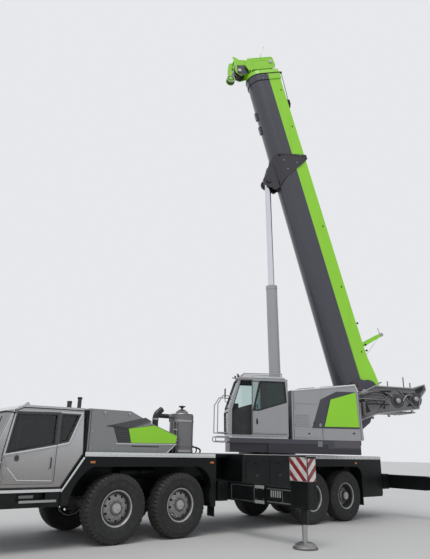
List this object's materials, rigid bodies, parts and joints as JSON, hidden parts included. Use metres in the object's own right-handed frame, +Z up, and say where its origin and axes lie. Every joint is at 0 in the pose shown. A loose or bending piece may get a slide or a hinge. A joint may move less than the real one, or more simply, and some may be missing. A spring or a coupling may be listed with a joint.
{
  "type": "mobile crane",
  "caption": "Truck crane on outriggers with a raised telescopic boom, operator's cab, engine hood and low driver's cab.",
  "frame": {"origin": "on the ground under the middle of the parked crane's bounding box", "axes": "+X forwards along the carrier, +Y to its left, +Z up"},
  "size_m": [13.1015, 7.8, 16.5745],
  "materials": {
    "frame_black": "satin black paint",
    "beam_black": "satin black paint",
    "body_silver": "silver-white paint",
    "hood_grey": "mid-grey paint",
    "charcoal": "charcoal paint",
    "green": "lime green paint",
    "bumper": "textured black plastic",
    "glass": "tinted glass",
    "trim": "dark moulded trim",
    "steel": "machined steel",
    "rod": "chromed rod",
    "cast": "cast iron",
    "wheel": "rubber tyre on a steel rim",
    "seat": "dark seat fabric"
  },
  "bodies": {
    "carrier": {"chassis_frame": "frame_black", "outrigger_boxes": "frame_black", "deck_plates": "frame_black", "fenders": "frame_black", "side_lockers": "frame_black", "cab_shell": "body_silver", "cab_glass": "glass", "cab_interior": "trim", "front_bumper": "bumper", "engine_hood": "hood_grey", "engine_block": "cast", "deck_equipment": "steel", "slewing_ring": "steel", "axles": "cast"},
    "superstructure": {"turntable": "hood_grey", "machinery_housing": "hood_grey", "operator_cab": "hood_grey", "operator_cab_glass": "glass", "operator_seat": "seat", "winch_frame": "steel", "winch_drums": "steel"},
    "operator_door": {"operator_door": "hood_grey", "operator_door_glass": "glass"},
    "boom_base": {"boom_base": "charcoal"},
    "boom_section_2": {"boom_section_2": "charcoal"},
    "boom_section_3": {"boom_section_3": "charcoal"},
    "boom_section_4": {"boom_section_4": "charcoal"},
    "boom_section_5": {"boom_section_5": "charcoal", "boom_head": "green", "head_sheaves": "steel"},
    "luff_barrel": {"luff_barrel": "steel"},
    "luff_rod": {"luff_rod": "rod"},
    "cab_door_left": {"cab_door_left": "body_silver", "cab_door_glass_left": "glass"},
    "wheel_1_left": {"wheel_1_left": "wheel"},
    "knuckle_1_left": {"knuckle_1_left": "cast"},
    "wheel_2_left": {"wheel_2_left": "wheel"},
    "knuckle_2_left": {"knuckle_2_left": "cast"},
    "wheel_3_left": {"wheel_3_left": "wheel"},
    "wheel_4_left": {"wheel_4_left": "wheel"},
    "outrigger_beam_front_left": {"outrigger_beam_front_left": "beam_black"},
    "outrigger_tip_front_left": {"outrigger_tip_front_left": "beam_black"},
    "jack_front_left": {"jack_front_left": "steel"},
    "outrigger_beam_rear_left": {"outrigger_beam_rear_left": "beam_black"},
    "outrigger_tip_rear_left": {"outrigger_tip_rear_left": "beam_black"},
    "jack_rear_left": {"jack_rear_left": "steel"},
    "cab_door_right": {"cab_door_right": "body_silver", "cab_door_glass_right": "glass"},
    "wheel_1_right": {"wheel_1_right": "wheel"},
    "knuckle_1_right": {"knuckle_1_right": "cast"},
    "wheel_2_right": {"wheel_2_right": "wheel"},
    "knuckle_2_right": {"knuckle_2_right": "cast"},
    "wheel_3_right": {"wheel_3_right": "wheel"},
    "wheel_4_right": {"wheel_4_right": "wheel"},
    "outrigger_beam_front_right": {"outrigger_beam_front_right": "beam_black"},
    "outrigger_tip_front_right": {"outrigger_tip_front_right": "beam_black"},
    "jack_front_right": {"jack_front_right": "steel"},
    "outrigger_beam_rear_right": {"outrigger_beam_rear_right": "beam_black"},
    "outrigger_tip_rear_right": {"outrigger_tip_rear_right": "beam_black"},
    "jack_rear_right": {"jack_rear_right": "steel"}
  },
  "joints": [
    {"name": "slew", "type": "hinge", "parent": "carrier", "child": "superstructure", "pos_m": [-1.959, 0, 1.9], "axis": [0, 0, 1], "continuous": true},
    {"name": "door_hinge_left", "type": "hinge", "parent": "carrier", "child": "cab_door_left", "pos_m": [6.081, 1.356, 1.6], "axis": [0, 0, -1], "range_deg": [0, 70]},
    {"name": "steer_1_left", "type": "hinge", "parent": "carrier", "child": "knuckle_1_left", "pos_m": [3.641, 0.9, 0.685], "axis": [0, 0, 1], "range_deg": [-32, 32]},
    {"name": "spin_1_left", "type": "hinge", "parent": "knuckle_1_left", "child": "wheel_1_left", "pos_m": [3.641, 1.15, 0.685], "axis": [0, 1, 0], "continuous": true},
    {"name": "steer_2_left", "type": "hinge", "parent": "carrier", "child": "knuckle_2_left", "pos_m": [2.041, 0.9, 0.685], "axis": [0, 0, 1], "range_deg": [-23.04, 23.04]},
    {"name": "spin_2_left", "type": "hinge", "parent": "knuckle_2_left", "child": "wheel_2_left", "pos_m": [2.041, 1.15, 0.685], "axis": [0, 1, 0], "continuous": true},
    {"name": "spin_3_left", "type": "hinge", "parent": "carrier", "child": "wheel_3_left", "pos_m": [-2.439, 1.15, 0.685], "axis": [0, 1, 0], "continuous": true},
    {"name": "spin_4_left", "type": "hinge", "parent": "carrier", "child": "wheel_4_left", "pos_m": [-3.889, 1.15, 0.685], "axis": [0, 1, 0], "continuous": true},
    {"name": "beam_slide_front_left", "type": "slide", "parent": "carrier", "child": "outrigger_beam_front_left", "axis": [0, 1, 0], "range_m": [-1.74, 0]},
    {"name": "tip_slide_front_left", "type": "slide", "parent": "outrigger_beam_front_left", "child": "outrigger_tip_front_left", "axis": [0, 1, 0], "range_m": [-0.788, 0]},
    {"name": "jack_slide_front_left", "type": "slide", "parent": "outrigger_tip_front_left", "child": "jack_front_left", "axis": [0, 0, 1], "range_m": [0, 0.3]},
    {"name": "beam_slide_rear_left", "type": "slide", "parent": "carrier", "child": "outrigger_beam_rear_left", "axis": [0, 1, 0], "range_m": [-1.74, 0]},
    {"name": "tip_slide_rear_left", "type": "slide", "parent": "outrigger_beam_rear_left", "child": "outrigger_tip_rear_left", "axis": [0, 1, 0], "range_m": [-0.788, 0]},
    {"name": "jack_slide_rear_left", "type": "slide", "parent": "outrigger_tip_rear_left", "child": "jack_rear_left", "axis": [0, 0, 1], "range_m": [0, 0.3]},
    {"name": "door_hinge_right", "type": "hinge", "parent": "carrier", "child": "cab_door_right", "pos_m": [6.081, -1.356, 1.6], "axis": [0, 0, 1], "range_deg": [0, 70]},
    {"name": "steer_1_right", "type": "hinge", "parent": "carrier", "child": "knuckle_1_right", "pos_m": [3.641, -0.9, 0.685], "axis": [0, 0, 1], "range_deg": [-32, 32]},
    {"name": "spin_1_right", "type": "hinge", "parent": "knuckle_1_right", "child": "wheel_1_right", "pos_m": [3.641, -1.15, 0.685], "axis": [0, 1, 0], "continuous": true},
    {"name": "steer_2_right", "type": "hinge", "parent": "carrier", "child": "knuckle_2_right", "pos_m": [2.041, -0.9, 0.685], "axis": [0, 0, 1], "range_deg": [-23.04, 23.04]},
    {"name": "spin_2_right", "type": "hinge", "parent": "knuckle_2_right", "child": "wheel_2_right", "pos_m": [2.041, -1.15, 0.685], "axis": [0, 1, 0], "continuous": true},
    {"name": "spin_3_right", "type": "hinge", "parent": "carrier", "child": "wheel_3_right", "pos_m": [-2.439, -1.15, 0.685], "axis": [0, 1, 0], "continuous": true},
    {"name": "spin_4_right", "type": "hinge", "parent": "carrier", "child": "wheel_4_right", "pos_m": [-3.889, -1.15, 0.685], "axis": [0, 1, 0], "continuous": true},
    {"name": "beam_slide_front_right", "type": "slide", "parent": "carrier", "child": "outrigger_beam_front_right", "axis": [0, -1, 0], "range_m": [-1.74, 0]},
    {"name": "tip_slide_front_right", "type": "slide", "parent": "outrigger_beam_front_right", "child": "outrigger_tip_front_right", "axis": [0, -1, 0], "range_m": [-0.788, 0]},
    {"name": "jack_slide_front_right", "type": "slide", "parent": "outrigger_tip_front_right", "child": "jack_front_right", "axis": [0, 0, 1], "range_m": [0, 0.3]},
    {"name": "beam_slide_rear_right", "type": "slide", "parent": "carrier", "child": "outrigger_beam_rear_right", "axis": [0, -1, 0], "range_m": [-1.74, 0]},
    {"name": "tip_slide_rear_right", "type": "slide", "parent": "outrigger_beam_rear_right", "child": "outrigger_tip_rear_right", "axis": [0, -1, 0], "range_m": [-0.788, 0]},
    {"name": "jack_slide_rear_right", "type": "slide", "parent": "outrigger_tip_rear_right", "child": "jack_rear_right", "axis": [0, 0, 1], "range_m": [0, 0.3]},
    {"name": "operator_door_slide", "type": "slide", "parent": "superstructure", "child": "operator_door", "axis": [0.866, -0.5, 0], "range_m": [0, 0.56]},
    {"name": "luff", "type": "hinge", "parent": "superstructure", "child": "boom_base", "pos_m": [-4.53976, 1.49, 3.65], "axis": [-0.5, -0.866, 0], "range_deg": [-76, 3]},
    {"name": "luff_barrel_pivot", "type": "hinge", "parent": "superstructure", "child": "luff_barrel", "pos_m": [-2.23613, 0.16, 2.45], "axis": [-0.5, -0.866, 0], "range_deg": [-86.63, 3.52]},
    {"name": "luff_rod_slide", "type": "slide", "parent": "luff_barrel", "child": "luff_rod", "axis": [0.0182, -0.0105, 0.9998], "range_m": [-3.3877, 0.1347]},
    {"name": "telescope_2", "type": "slide", "parent": "boom_base", "child": "boom_section_2", "axis": [0.2095, -0.121, 0.9703], "range_m": [0, 8.6]},
    {"name": "telescope_3", "type": "slide", "parent": "boom_section_2", "child": "boom_section_3", "axis": [0.2095, -0.121, 0.9703], "range_m": [0, 8.6]},
    {"name": "telescope_4", "type": "slide", "parent": "boom_section_3", "child": "boom_section_4", "axis": [0.2095, -0.121, 0.9703], "range_m": [0, 8.6]},
    {"name": "telescope_5", "type": "slide", "parent": "boom_section_4", "child": "boom_section_5", "axis": [0.2095, -0.121, 0.9703], "range_m": [0, 8.6]}
  ],
  "couplings": [
    {"joint": "steer_2_left", "follows": "steer_1_left", "ratio": 0.72},
    {"joint": "tip_slide_front_left", "follows": "beam_slide_front_left", "ratio": 0.45287},
    {"joint": "tip_slide_rear_left", "follows": "beam_slide_rear_left", "ratio": 0.45287},
    {"joint": "steer_1_right", "follows": "steer_1_left", "ratio": 1},
    {"joint": "steer_2_right", "follows": "steer_1_left", "ratio": 0.72},
    {"joint": "tip_slide_front_right", "follows": "beam_slide_front_right", "ratio": 0.45287},
    {"joint": "tip_slide_rear_right", "follows": "beam_slide_rear_right", "ratio": 0.45287},
    {"joint": "luff_barrel_pivot", "follows": "luff", "ratio": 1.1386},
    {"joint": "luff_rod_slide", "follows": "luff", "m_per_rad": 2.5532},
    {"joint": "telescope_3", "follows": "telescope_2", "ratio": 1},
    {"joint": "telescope_4", "follows": "telescope_2", "ratio": 1},
    {"joint": "telescope_5", "follows": "telescope_2", "ratio": 1}
  ]
}
